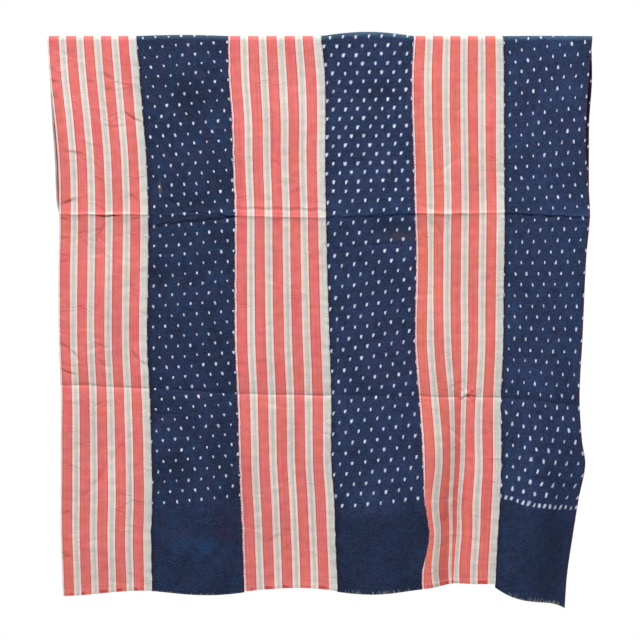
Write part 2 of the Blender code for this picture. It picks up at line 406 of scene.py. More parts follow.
def waves(place, drop, seed, count, shortest, longest):
    """Unevenness without a repeat, about 1 high at its most."""
    random = np.random.default_rng(seed)
    height = np.zeros_like(place)
    for _ in range(count):
        length = random.uniform(shortest, longest)
        angle = random.uniform(0, math.pi)
        phase = random.uniform(0, 2 * math.pi)
        along = place * math.cos(angle) + drop * math.sin(angle)
        height += np.sin(along * 2 * math.pi / length + phase)
    return height / math.sqrt(count)


def seam_wave(drop, seam):
    """How far a seam wanders sideways between its stitches, in mm."""
    return 0.4 * waves(np.zeros_like(drop), drop, 40 + seam, 7, 11, 34)


def tuft_relief(place, drop):
    """A pinch of cloth tied on strip 5: a knot, a raised lip on its left and a bowed ridge on its right."""
    across = place - TUFT_X
    down = drop - TUFT_DROP
    distance = np.hypot(across, down) + 0.01
    angle = np.arctan2(down, across)
    knot = 2.2 * np.exp(-((across - 0.5) / 4.6) ** 2 - ((down + 3.0) / 4.6) ** 2)
    lip = 2.4 * np.exp(-((across + 9.5) / 4.5) ** 2 - ((down - 2.5) / 5.0) ** 2)
    toward_right = np.exp(-((angle + 0.25) / 0.9) ** 2)
    ridge = 1.9 * toward_right * np.exp(-((distance - 13.0) / 3.0) ** 2)
    pit = -0.8 * np.exp(-((across - 2.0) / 5.0) ** 2 - ((down - 4.5) / 3.5) ** 2)
    puckers = 0.35 * np.cos(9 * angle + 0.6) * np.exp(-((distance - 11) / 6) ** 2)
    return knot + lip + ridge + pit + puckers


def edge_relief(strip, share, width, place, drop):
    """Near its seams a striped strip stands proud of its dotted neighbour, and both pucker."""
    from_left = share * width
    from_right = (1 - share) * width
    lift = 0.55 if STRIPS[strip - 1].finish == "striped" else -0.45
    height = np.zeros_like(place)
    for seam, distance in ((strip - 1, from_left), (strip, from_right)):
        if 1 <= seam <= 5:
            height += lift * bell(distance, 3.0) * (1 - bell(distance, 0.5))
            pucker = waves(np.zeros_like(drop), drop, 60 + seam, 6, 10, 26)
            height += 0.30 * pucker * np.exp(-distance / 9.0)
    return height


def small_relief(strip, share, width, place, drop, front):
    """What the solids leave out, in mm towards the front."""
    height = wrinkle_relief(place, drop) + swell_relief(place, drop) + tuft_relief(place, drop)
    height = np.where(front, height, 0.4 * height) + stray_relief(place, drop, front)
    height += sharp_creases(strip, share, place, drop)
    height += np.where(front, waves(place, drop, 5, 12, 60, 190), waves(place, drop, 6, 12, 60, 190)) * 0.7
    height += np.where(front, waves(place, drop, 7, 16, 16, 46), waves(place, drop, 8, 16, 16, 46)) * 0.2
    height += edge_relief(strip, share, width, place, drop) * np.where(front, 1.0, -1.0)
    return height * (0.15 + 0.85 * ease(drop, 4, 45))


def crest_rise(strip, share, drop):
    """How far the middle of a strip stands above its edges, over the rail and just below it."""
    return STRIPS[strip - 1].crest * np.sin(math.pi * share) * (1 - ease(drop, 0.0, CREST_FADES))


def lay_cloth(strip, share, down):
    """Points in the middle of the cloth's thickness, in metres, for shares across and lengths down."""
    front = down >= 0
    angle = np.minimum(np.abs(down) / BEND_RADIUS, math.pi / 2)
    drop = BEND_RADIUS * (1 - np.cos(angle)) + np.maximum(np.abs(down) - QUARTER_BEND, 0.0)
    place, width = place_across(strip, share, drop, front)
    main = main_relief(strip, share, place, drop)
    small = small_relief(strip, share, width, place, drop, front)
    side = np.where(front, FRONT, BACK)
    depth = side * BEND_RADIUS * np.sin(angle) - np.where(front, 1.0, BACK_FOLLOWS) * main - small
    height = SOLID_THICKNESS / 2 - drop + crest_rise(strip, share, drop)
    for seam in range(1, 6):
        if seam in (strip - 1, strip):
            seam_place = place - share * width if seam == strip - 1 else place + (1 - share) * width
            place = place + seam_wave(drop, seam) * bell(place - seam_place, 12.0)
    return np.stack((place, depth, height), axis=-1) * MM, drop


def outward(points):
    """The direction that the outer face looks in, for points in rows down and columns across."""
    down = np.gradient(points, axis=0)
    across = np.gradient(points, axis=1)
    normal = np.cross(down, across)
    return normal / np.linalg.norm(normal, axis=-1, keepdims=True)


def hem_drop(strip, front, share):
    """How far the hem hangs below the top, on a cubic through its four places."""
    row = STRIPS[strip - 1]
    if not front:
        return blend(row.back_left, row.back_right, share)
    places = (0.0, 1 / 3, 2 / 3, 1.0)
    drops = (row.hem_left, row.hem_third, row.hem_two_thirds, row.hem_right)
    total = 0.0
    for here, drop in zip(places, drops):
        weight = 1.0
        for other in places:
            if other != here:
                weight = weight * (share - other) / (here - other)
        total = total + weight * drop
    return total


def section(start, end, count):
    """Evenly spaced levels from start to end, without start."""
    share = np.arange(1, count + 1) / count
    return start + (end - start) * share[:, None]


# Rows of points: round the bend, then down to each storage crease, through it, and to the hem
CROWN_ROWS = 9
FRONT_ROWS = (140, 14, 140, 14, 148, 14)
BACK_ROWS = (32, 6, 32, 6, 30, 6)
CREASE_BAND = 7.0


def rows_down(strip, share, front):
    """The rows of points from the bend to the hem, as lengths down from the top of the fold."""
    counts = FRONT_ROWS if front else BACK_ROWS
    ends = []
    for crease in CREASES:
        level = np.array(crease_level(crease, strip, share))
        ends += [level - CREASE_BAND, level + CREASE_BAND]
    ends.append(np.full_like(share, LAST_ROW if front else BACK_LAST_ROW))
    ends.append(hem_drop(strip, front, share))
    start = np.full_like(share, BEND_RADIUS)
    drops = []
    for end, count in zip(ends, counts):
        drops.append(section(start, end, count))
        start = end
    bend = BEND_RADIUS * np.linspace(0, math.pi / 2, CROWN_ROWS + 1)[1:, None] * np.ones_like(share)
    return np.vstack([bend] + [QUARTER_BEND - BEND_RADIUS + drop for drop in drops])


# Patches of colour on the front: centre, half sizes, and how much paler, warmer and stained they are. Many
# of the paler and darker ones are painted light and shade: darker over the hollows of the swells, along the
# pleat and round the tuft, paler on rises and where they offset the pleat's shading.
Patch = namedtuple("Patch", "x drop half_width half_height tone hue stain")
PATCHES = [Patch(*row) for row in (
    (-243, 118, 30, 26, -0.55, 0.2, 0),
    (-214, 296, 36, 14, -0.45, 0.1, 0),
    (-281, 418, 16, 34, -0.5, 0.2, 0),
    (-178, 550, 14, 20, -0.5, 0.2, 0),
    (-241, 770, 20, 32, -0.4, 0.1, 0),
    (-281, 269, 2.5, 9, 0.2, 0.0, 0.5),
    (-210, 898, 42, 22, 0.35, -0.8, 0),
    (-162, 872, 20, 36, -0.4, 0.9, 0),
    (112, 104, 40, 16, -0.5, 0.2, 0),
    (140, 340, 36, 28, -0.5, 0.0, 0),
    (128, 304, 46, 12, 0.35, -0.9, 0),
    (142, 353, 26, 8, -0.2, 0.2, 0.12),
    (76, 385, 60, 8, -0.3, 0.1, 0),
    (120, 560, 46, 90, -0.05, 0.9, 0),
    (198, 330, 3.5, 4, 0, 0, 0.7),
    (223, 330, 3.5, 4, 0, 0, 0.6),
    (221, 270, 3, 5, 0, 0, 0.5),
    (253, 314, 2.5, 3, -0.5, 0, 0.4),
    (195, 420, 16, 60, 0, 0.5, 0),
    (TUFT_X + 0.5, TUFT_DROP - 3, 5, 5, 0.5, 0, 0),
    (TUFT_X + 13, TUFT_DROP - 4, 4, 12, -0.25, -0.9, 0),
    (TUFT_X - 12, TUFT_DROP + 6, 6, 3, -0.5, -0.6, 0),
    (TUFT_X - 14, 705, 5, 70, -0.2, -0.8, 0),
    (-445, 707, 5, 5, 0, 0.6, 0.4),
    (241, 815, 7, 90, -0.45, -0.5, 0),
    (226, 850, 7, 90, 0.3, 0, 0),
    (300, 800, 34, 130, -0.05, -0.7, 0),
    (195, 250, 22, 130, 0, 0.5, 0),
)]


def patch_values(place, drop, front):
    """Tone with its painted light and shade, hue and stain at each point."""
    values = np.zeros((3,) + place.shape)
    for patch in PATCHES:
        share = spot(patch, place, drop)
        for index, amount in enumerate((patch.tone, patch.hue, patch.stain)):
            values[index] += amount * share
    return values * np.where(front, 1.0, 0.0)


def painted_crease_light_and_shade(strip, share, drop):
    """Painted light and shade along the storage creases, as light from above falls on them: pale just above
    the first and dark just below it, dark along the second and pale just below it.
    """
    first, second = CREASES
    above_first = drop - crease_level(first, strip, share)
    above_second = drop - crease_level(second, strip, share)
    wear = 0.4 * bell(above_first + 2.5, 2.5) - 0.7 * bell(above_first - 1.2, 1.3)
    return wear + 0.2 * bell(above_second - 3.0, 2.5) - 0.6 * bell(above_second, 1.4)


def painted_ridge_light_and_shade(points):
    """Painted light on sharp ridges and painted shade in sharp hollows, from how the cloth's depth curves.
    """
    depth = points[..., 1] / MM
    level = points[..., 2] / MM
    across = points[..., 0] / MM
    slope_down = np.gradient(depth, axis=0) / np.minimum(np.gradient(level, axis=0), -0.4)
    curve_down = np.gradient(slope_down, axis=0) / np.minimum(np.gradient(level, axis=0), -0.4)
    slope_across = np.gradient(depth, axis=1) / np.gradient(across, axis=1)
    curve_across = np.gradient(slope_across, axis=1) / np.gradient(across, axis=1)
    wear = np.clip((curve_down + curve_across) * 1.2, -0.6, 0.6)
    return wear * ease(np.abs(level), 14, 30)


def lattice(strip, share, below_top):
    """The column and row of the dots at each point, as smooth numbers."""
    rows = DOT_ROWS[strip]
    sag = np.sin(math.pi * share)
    levels = [blend(row.drop_left, row.drop_right, share) + row.sag * sag for row in rows]
    row_number = np.zeros_like(below_top)
    for index in range(len(rows) - 1):
        lower = levels[index]
        upper = levels[index + 1]
        along = (lower - below_top) / (lower - upper)
        inside = (along >= 0) if index else np.full(along.shape, True)
        number = blend(rows[index].row, rows[index + 1].row, along)
        row_number = np.where(inside, number, row_number)
    left, right = DOT_COLUMNS[strip]
    return np.stack((blend(left, right, share), row_number), axis=-1)


def stripe_place(strip, share, drop, place, front):
    """How far across the flat strip a point is, in mm, so that the stripes run as they hang."""
    flat = share * STRIP_WIDTH
    if strip != 5:
        return flat
    left = edge_place(FRONT_LEVELS, strip, drop)
    right = edge_place(FRONT_LEVELS, strip + 1, drop)
    taken_up = np.zeros_like(place)
    taken_in_all = np.zeros_like(place)
    for gather in GATHERS:
        taken = gather.taken * ease(drop, gather.starts, gather.full)
        taken = taken * (1 - ease(drop, gather.fades, gather.ends))
        toward_hem = np.clip((drop - gather.starts) / (LAST_ROW - gather.starts), 0.0, 1.0)
        middle = blend(gather.x_start, gather.x_hem, np.sqrt(toward_hem))
        half_width = blend(gather.wide, gather.narrow, toward_hem**2)
        taken_up += taken * ease(place, middle - half_width, middle + half_width)
        taken_in_all += taken
    evenly = (place - left) / (right - left) * (STRIP_WIDTH - taken_in_all)
    warped = evenly + taken_up
    return np.where(front, warped, flat)


def grid_quads(numbers, turned):
    """Corner numbers of the faces between points laid in rows and columns."""
    corners = (numbers[:-1, :-1], numbers[1:, :-1], numbers[1:, 1:], numbers[:-1, 1:])
    quads = np.stack(corners, axis=-1).reshape(-1, 4)
    return quads[:, ::-1] if turned else quads


def rim_faces(outer, inner, turned):
    """Faces along an edge, where the inner face has a point for every second outer one."""
    corners = (outer[:-2:2], outer[1::2], outer[2::2], inner[1:], inner[:-1])
    faces = np.stack(corners, axis=-1)
    return faces[:, ::-1] if turned else faces


# How much the turned hem thickens a striped strip, and the levels above the hem where that ends
HEM_RISE = 0.7
HEM_INNER = 7.0
HEM_OUTER = 8.5
# How much painted shade darkens the hidden side of each finish near the side edges, so that its slivers
# past the side edges look shaded
HIDDEN_SIDE_PAINTED_SHADE = {"striped": -1.6, "dotted": -0.7}


def make_strip(strip, settings):
    """One strip as a thin closed sheet over the rail, with the places that its finish needs."""
    row = STRIPS[strip - 1]
    columns = settings.points_across
    inset = SEAM_GAP / 2 / STRIP_WIDTH
    share = np.linspace(inset, 1 - inset, columns)
    behind = rows_down(strip, share, False)
    ahead = rows_down(strip, share, True)
    down = np.vstack([-behind[::-1], np.zeros((1, columns)), ahead])
    share = np.broadcast_to(share, down.shape)
    points, drop = lay_cloth(strip, share, down)
    normal = outward(points)
    to_hem = np.where(down >= 0, ahead[-1] - down, down + behind[-1])
    thickening = 1.0 if row.finish == "striped" else 0.5
    turned_hem = HEM_RISE * MM * (1 - ease(to_hem, HEM_INNER, HEM_OUTER)) * thickening
    half = settings.thickness / 2
    outer = points + normal * (half + turned_hem)[..., None]
    inner = (points - normal * half)[::2, ::2]
    numbers = np.arange(points[..., 0].size).reshape(down.shape)
    inner_numbers = numbers.size + np.arange(inner[..., 0].size).reshape(inner.shape[:2])
    faces = grid_quads(numbers, False).tolist() + grid_quads(inner_numbers, True).tolist()
    faces += rim_faces(numbers[:, 0], inner_numbers[:, 0], True).tolist()
    faces += rim_faces(numbers[:, -1], inner_numbers[:, -1], False).tolist()
    faces += rim_faces(numbers[0], inner_numbers[0], False).tolist()
    faces += rim_faces(numbers[-1], inner_numbers[-1], True).tolist()
    vertices = np.vstack((outer.reshape(-1, 3), inner.reshape(-1, 3)))
    mesh = bpy.data.meshes.new(row.node + "_cloth")
    mesh.from_pydata(vertices.tolist(), [], faces)
    mesh.update()
    mesh.shade_smooth()
    mesh.set_sharp_from_angle(angle=SHARP_ANGLE)

    front = down >= 0
    place = points[..., 0] / MM
    flat_down = down - (QUARTER_BEND - BEND_RADIUS)
    across = stripe_place(strip, share, drop, place, front)
    cloth_uv = np.stack((across, flat_down), axis=-1) * MM
    add_uv(mesh, "cloth", np.vstack((cloth_uv.reshape(-1, 2), cloth_uv[::2, ::2].reshape(-1, 2))))
    if row.finish == "dotted":
        dots = lattice(strip, share, flat_down - np.where(front, 1, -1) * crest_rise(strip, share, drop))
        add_uv(mesh, "dots", np.vstack((dots.reshape(-1, 2), dots[::2, ::2].reshape(-1, 2))))
    tone, hue, stain = patch_values(place, drop, front)
    # Painted light and shade along the storage creases and over the cloth's ridges and hollows.
    wear = painted_crease_light_and_shade(strip, share, drop) + painted_ridge_light_and_shade(points)
    # Near the side edges the inner face of the back layer is darkened: painted shade where the front layer
    # would shadow it.
    between_edges = ease(place, -470, -440) * (1 - ease(place, 440, 466))
    inner_face_tone_and_painted_shade = tone + np.where(front, 0.0, HIDDEN_SIDE_PAINTED_SHADE[row.finish] * (1 - between_edges))
    numbers_by_name = (
        ("tone", tone, inner_face_tone_and_painted_shade), ("hue", hue, hue), ("stain", stain, stain), ("wear", wear, wear),
        ("hem", to_hem, to_hem),
    )
    for name, values, inner_values in numbers_by_name:
        add_numbers(mesh, name, np.concatenate((values.ravel(), inner_values[::2, ::2].ravel())))
    return add_piece(row.node + "_cloth", mesh)


def add_piece(name, data):
    piece = bpy.data.objects.new(name, data)
    bpy.context.collection.objects.link(piece)
    return piece


def add_uv(mesh, name, values):
    layer = mesh.uv_layers.new(name=name)
    corner = np.empty(len(mesh.loops), dtype=np.int32)
    mesh.loops.foreach_get("vertex_index", corner)
    layer.uv.foreach_set("vector", values[corner].astype(np.float32).ravel())


def add_numbers(mesh, name, values):
    attribute = mesh.attributes.new(name, "FLOAT", "POINT")
    attribute.data.foreach_set("value", values.astype(np.float32))


def linear(red, green, blue):
    """A colour given as it looks on screen, from 0 to 255, for a shader."""
    channels = []
    for value in (red, green, blue):
        share = value / 255
        channels.append(share / 12.92 if share <= 0.04045 else ((share + 0.055) / 1.055) ** 2.4)
    return tuple(channels) + (1.0,)


def math_node(operation, swapped=False):
    """A method of Value that adds a Math node, with its own value second where the two are swapped."""

    def add_node(self, *others):
        operands = (*others, self) if swapped else (self, *others)
        return self.finish.math(operation, *operands)

    return add_node


class Value:
    """A number that varies over the surface. Python's operators on it add Math nodes."""

    def __init__(self, finish, socket):
        self.finish = finish
        self.socket = socket

    __add__ = math_node("ADD")
    __radd__ = math_node("ADD", swapped=True)
    __sub__ = math_node("SUBTRACT")
    __rsub__ = math_node("SUBTRACT", swapped=True)
    __mul__ = math_node("MULTIPLY")
    __rmul__ = math_node("MULTIPLY", swapped=True)
    __truediv__ = math_node("DIVIDE")
    __pow__ = math_node("POWER")
    __mod__ = math_node("FLOORED_MODULO")
    __abs__ = math_node("ABSOLUTE")
    __gt__ = math_node("GREATER_THAN")
    __lt__ = math_node("LESS_THAN")
    floor = math_node("FLOOR")
    cosine = math_node("COSINE")


class Finish:
    """A procedural material under construction."""

    def __init__(self, name):
        self.material = bpy.data.materials.new(name)
        self.material.use_nodes = True
        self.tree = self.material.node_tree
        self.tree.nodes.clear()

    def node(self, kind, settings=None, **sockets):
        """Adds a node: first its settings, and then the values or links of its sockets."""
        node = self.tree.nodes.new(kind)
        for name, value in (settings or {}).items():
            if name == "stops":
                self.set_stops(node.color_ramp, value)
            else:
                setattr(node, name, value)
        for name, value in sockets.items():
            self.feed(node.inputs[name.replace("_", " ")], value)
        return node

    def set_stops(self, ramp, stops):
        while len(ramp.elements) < len(stops):
            ramp.elements.new(0.5)
        for element, (position, colour) in zip(ramp.elements, stops):
            element.position = position
            element.color = colour

    def feed(self, socket, value):
        if isinstance(value, Value):
            value = value.socket
        if isinstance(value, bpy.types.NodeSocket):
            self.tree.links.new(value, socket)
        elif socket.type == "VECTOR" and not isinstance(value, float):
            socket.default_value = value[:3]
        else:
            socket.default_value = value

    def math(self, operation, *operands):
        node = self.tree.nodes.new("ShaderNodeMath")
        node.operation = operation
        for socket, operand in zip(node.inputs, operands):
            self.feed(socket, operand)
        return Value(self, node.outputs[0])

    def smooth(self, value, start, end):
        """0 up to start, 1 from end, and smooth between them."""
        node = self.node("ShaderNodeMapRange", {"interpolation_type": "SMOOTHSTEP"})
        for name, given in (("Value", value), ("From Min", start), ("From Max", end)):
            self.feed(node.inputs[name], given)
        return Value(self, node.outputs["Result"])

    def mix(self, factor, first, second, blend_type="MIX"):
        """A colour between two."""
        settings = {"data_type": "RGBA", "blend_type": blend_type, "clamp_factor": True}
        node = self.node("ShaderNodeMix", settings, Factor=factor)
        colours = [socket for socket in node.inputs if socket.type == "RGBA"]
        self.feed(colours[0], first)
        self.feed(colours[1], second)
        return next(socket for socket in node.outputs if socket.type == "RGBA")

    def shade(self, colour, factor):
        """The colour, brighter or darker by a factor that varies."""
        node = self.node("ShaderNodeVectorMath", {"operation": "SCALE"})
        self.feed(node.inputs[0], colour)
        self.feed(node.inputs["Scale"], factor)
        return node.outputs[0]

    def number(self, name):
        """A number stored at the mesh's points."""
        node = self.node("ShaderNodeAttribute", {"attribute_type": "GEOMETRY", "attribute_name": name})
        return Value(self, node.outputs["Fac"])

    def plane(self, uv_name):
        """The two coordinates of a UV map."""
        uv = self.node("ShaderNodeUVMap", {"uv_map": uv_name})
        parts = self.node("ShaderNodeSeparateXYZ", Vector=uv.outputs["UV"])
        return Value(self, parts.outputs["X"]), Value(self, parts.outputs["Y"])

    def at(self, across, down, level=0.0):
        """A point for a texture to be read at."""
        return self.node("ShaderNodeCombineXYZ", X=across, Y=down, Z=level).outputs["Vector"]

    def noise(self, point, detail=2.0, roughness=0.5):
        node = self.node(
            "ShaderNodeTexNoise",
            {"noise_dimensions": "3D"},
            Vector=point, Scale=1.0, Detail=detail, Roughness=roughness,
        )
        return Value(self, node.outputs["Fac"])

    def chances(self, point):
        """Three random numbers for a cell."""
        node = self.node("ShaderNodeTexWhiteNoise", {"noise_dimensions": "3D"}, Vector=point)
        parts = self.node("ShaderNodeSeparateColor", Color=node.outputs["Color"])
        return [Value(self, parts.outputs[name]) for name in ("Red", "Green", "Blue")]

    def close(self, colour, roughness, height, settings):
        """Joins the colour, roughness and weave to the cloth's shader."""
        bump = self.node("ShaderNodeBump", Strength=settings.weave_strength, Distance=1.0, Height=height)
        shader = self.node(
            "ShaderNodeBsdfPrincipled", Metallic=0.0,
            Base_Color=colour, Roughness=roughness, Normal=bump.outputs["Normal"],
            Specular_IOR_Level=0.15, Sheen_Weight=0.03, Sheen_Roughness=0.5,
        )
        return self.output(shader)

    def output(self, shader):
        """Makes this the material's surface."""
        surface = self.node("ShaderNodeOutputMaterial")
        self.tree.links.new(shader.outputs["BSDF"], surface.inputs["Surface"])
        return self.material


def weave(finish, u, v, seed):
    """Height of a plain weave of uneven handspun yarns, in metres, and its two kinds of streaks."""
    warp_run = finish.noise(finish.at(u * 1150.0, v * 14.0, seed))
    weft_run = finish.noise(finish.at(u * 18.0, v * 950.0, seed + 9.0))
    warp_phase = (u * 1000.0 + (warp_run - 0.5) * 0.3) * (math.pi / 0.95)
    weft_phase = (v * 1000.0 + (weft_run - 0.5) * 0.3) * (math.pi / 1.1)
    crossing = abs(warp_phase.cosine() * weft_phase.cosine())
    height = (crossing * 0.00016) + (warp_run + weft_run) * 0.00009
    return height, warp_run, weft_run


def fine_creases(finish, u, v, seed):
    """Thin broken lines where handled cotton has creased, from 0 to 1."""
    bend = finish.noise(finish.at(u * 24.0, v * 24.0, seed + 4.0), detail=3.0) - 0.5
    cells = finish.node(
        "ShaderNodeTexVoronoi", {"feature": "DISTANCE_TO_EDGE"},
        Vector=finish.at(u * 15.0 + bend * 1.2, v * 42.0 + bend * 1.6, seed), Scale=1.0,
    )
    line = 1 - finish.smooth(Value(finish, cells.outputs["Distance"]), 0.0, 0.07)
    shown = finish.noise(finish.at(u * 22.0, v * 30.0, seed + 7.0), detail=1.0)
    return line * finish.smooth(shown, 0.54, 0.70)


def striped_finish(strip, settings, stripes):
    """Pink stripes with darker edges, and pale stripes of four colours between them."""
    finish = Finish(f"striped_cotton_{strip}")
    seed = strip * 11.0
    outermost = strip == 1
    pink = tuple(stripes.coral if strip == 5 else stripes.pink)
    u, v = finish.plane("cloth")
    tone, hue, stain, wear, hem = [finish.number(name) for name in ("tone", "hue", "stain", "wear", "hem")]
    height, warp_run, weft_run = weave(finish, u, v, seed)
    wander = (finish.noise(finish.at(u * 30.0, v * 9.0, seed)) - 0.5) * 1.6
    tooth = (weft_run - 0.5) * 0.5
    repeat = stripes.repeat / MM
    start = FIRST_PINK - HALF_PINK
    along = (u * 1000.0 + wander + tooth - start) % repeat
    border = tuple(stripes.border)
    stops = (
        (0.0, border), (0.9, border), (1.7, pink), (16.0, pink), (16.7, border), (17.5, border),
        (18.1, tuple(stripes.pale_pink)), (20.6, tuple(stripes.pale_pink)), (21.6, tuple(stripes.cream)),
        (22.6, tuple(stripes.cream)), (23.4, tuple(stripes.grey)), (27.6, tuple(stripes.grey)),
        (28.3, tuple(stripes.white)), (31.1, tuple(stripes.white)), (31.7, border),
    )
    ramp = finish.node(
        "ShaderNodeValToRGB",
        {"stops": [(place / repeat, colour) for place, colour in stops]},
        Fac=along / repeat,
    )
    colour = ramp.outputs["Color"]
    selvedge_width = 0.9 if outermost else 1.9
    selvedge = 1 - finish.smooth(u * 1000.0 + tooth, selvedge_width - 0.7, selvedge_width + 0.7)
    colour = finish.mix(selvedge * (0.45 if outermost else 1.0), colour, tuple(stripes.selvedge))
    right_edge = finish.smooth(u * 1000.0 + tooth, 150.5, 152.5)
    colour = finish.mix(right_edge, colour, tuple(stripes.edge))
    blotch = finish.noise(finish.at(u * 14.0, v * 11.0, seed + 3.0), detail=3.0)
    salmon = finish.noise(finish.at(u * 45.0, v * 16.0, seed + 11.0), detail=3.0)
    tinted = 0.25 + (1 - finish.smooth(along, 16.0, 18.0)) * 0.5
    yellower = finish.smooth(salmon + hue * 0.3, 0.48, 0.66) * tinted
    redder = finish.smooth(salmon + hue * 0.3, 0.50, 0.34) * tinted
    colour = finish.mix(yellower, colour, tuple(stripes.salmon), "MULTIPLY")
    colour = finish.mix(redder, colour, tuple(stripes.rose), "MULTIPLY")
    crease = fine_creases(finish, u, v, seed)
    height = height + crease * (0.0011 if outermost else 0.0008)
    yarn = finish.noise(finish.at(u * 620.0, v * 3.0, seed + 5.0), detail=1.0)
    fine = finish.noise(finish.at(u * 300.0, v * 420.0, seed + 8.0), detail=1.0)
    factor = 1.0 + (yarn - 0.5) * 0.5 + (weft_run - 0.5) * 0.25 + (warp_run - 0.5) * 0.2
    factor = factor + (fine - 0.5) * 0.3
    # Along the fine creases the colour is a little darker: painted shade in them.
    factor = factor * (1.0 + (blotch - 0.5) * 0.3) * (1 - crease * 0.07)
    # The tone patches and the crease and ridge lines lighten and darken the colour, much of it painted
    # light and shade.
    factor = factor * (1.0 + tone * 0.3) * (1.0 + wear * 0.3)
    fold_line = finish.smooth(hem, 6.8, 7.6) * (1 - finish.smooth(hem, 8.0, 9.0))
    factor = factor * (1 - fold_line * 0.22)
    colour = finish.shade(colour, factor)
    turned = (1 - finish.smooth(hem, 5.5, 7.0)) * (1 - finish.smooth(along, 14.0, 18.0))
    marks = finish.smooth(finish.noise(finish.at(u * 70.0, v * 60.0, seed + 13.0)), 0.46, 0.56)
    colour = finish.mix(turned * marks * 0.65, colour, tuple(stripes.hem))
    colour = finish.mix(stain * 0.7, colour, linear(170, 165, 120))
    roughness = 0.82 + (warp_run - 0.5) * 0.16
    return finish.close(colour, roughness, height, settings)


# Distances between the columns and the rows of dots
COLUMN_PITCH = 22.0
ROW_PITCHES = {2: 18.5, 4: 18.5, 6: 19.0}
# The topmost row of dots that is drawn, and the row above which strips 2 and 4 stagger the other way
TOP_ROW = 92.5
STEPPED_ROW = 30.5
# How pale the ground of each dotted strip is, above and below its last row of dots
GROUND_LEVELS = {2: (0.99, 0.92), 4: (1.2, 0.8), 6: (1.25, 0.93)}


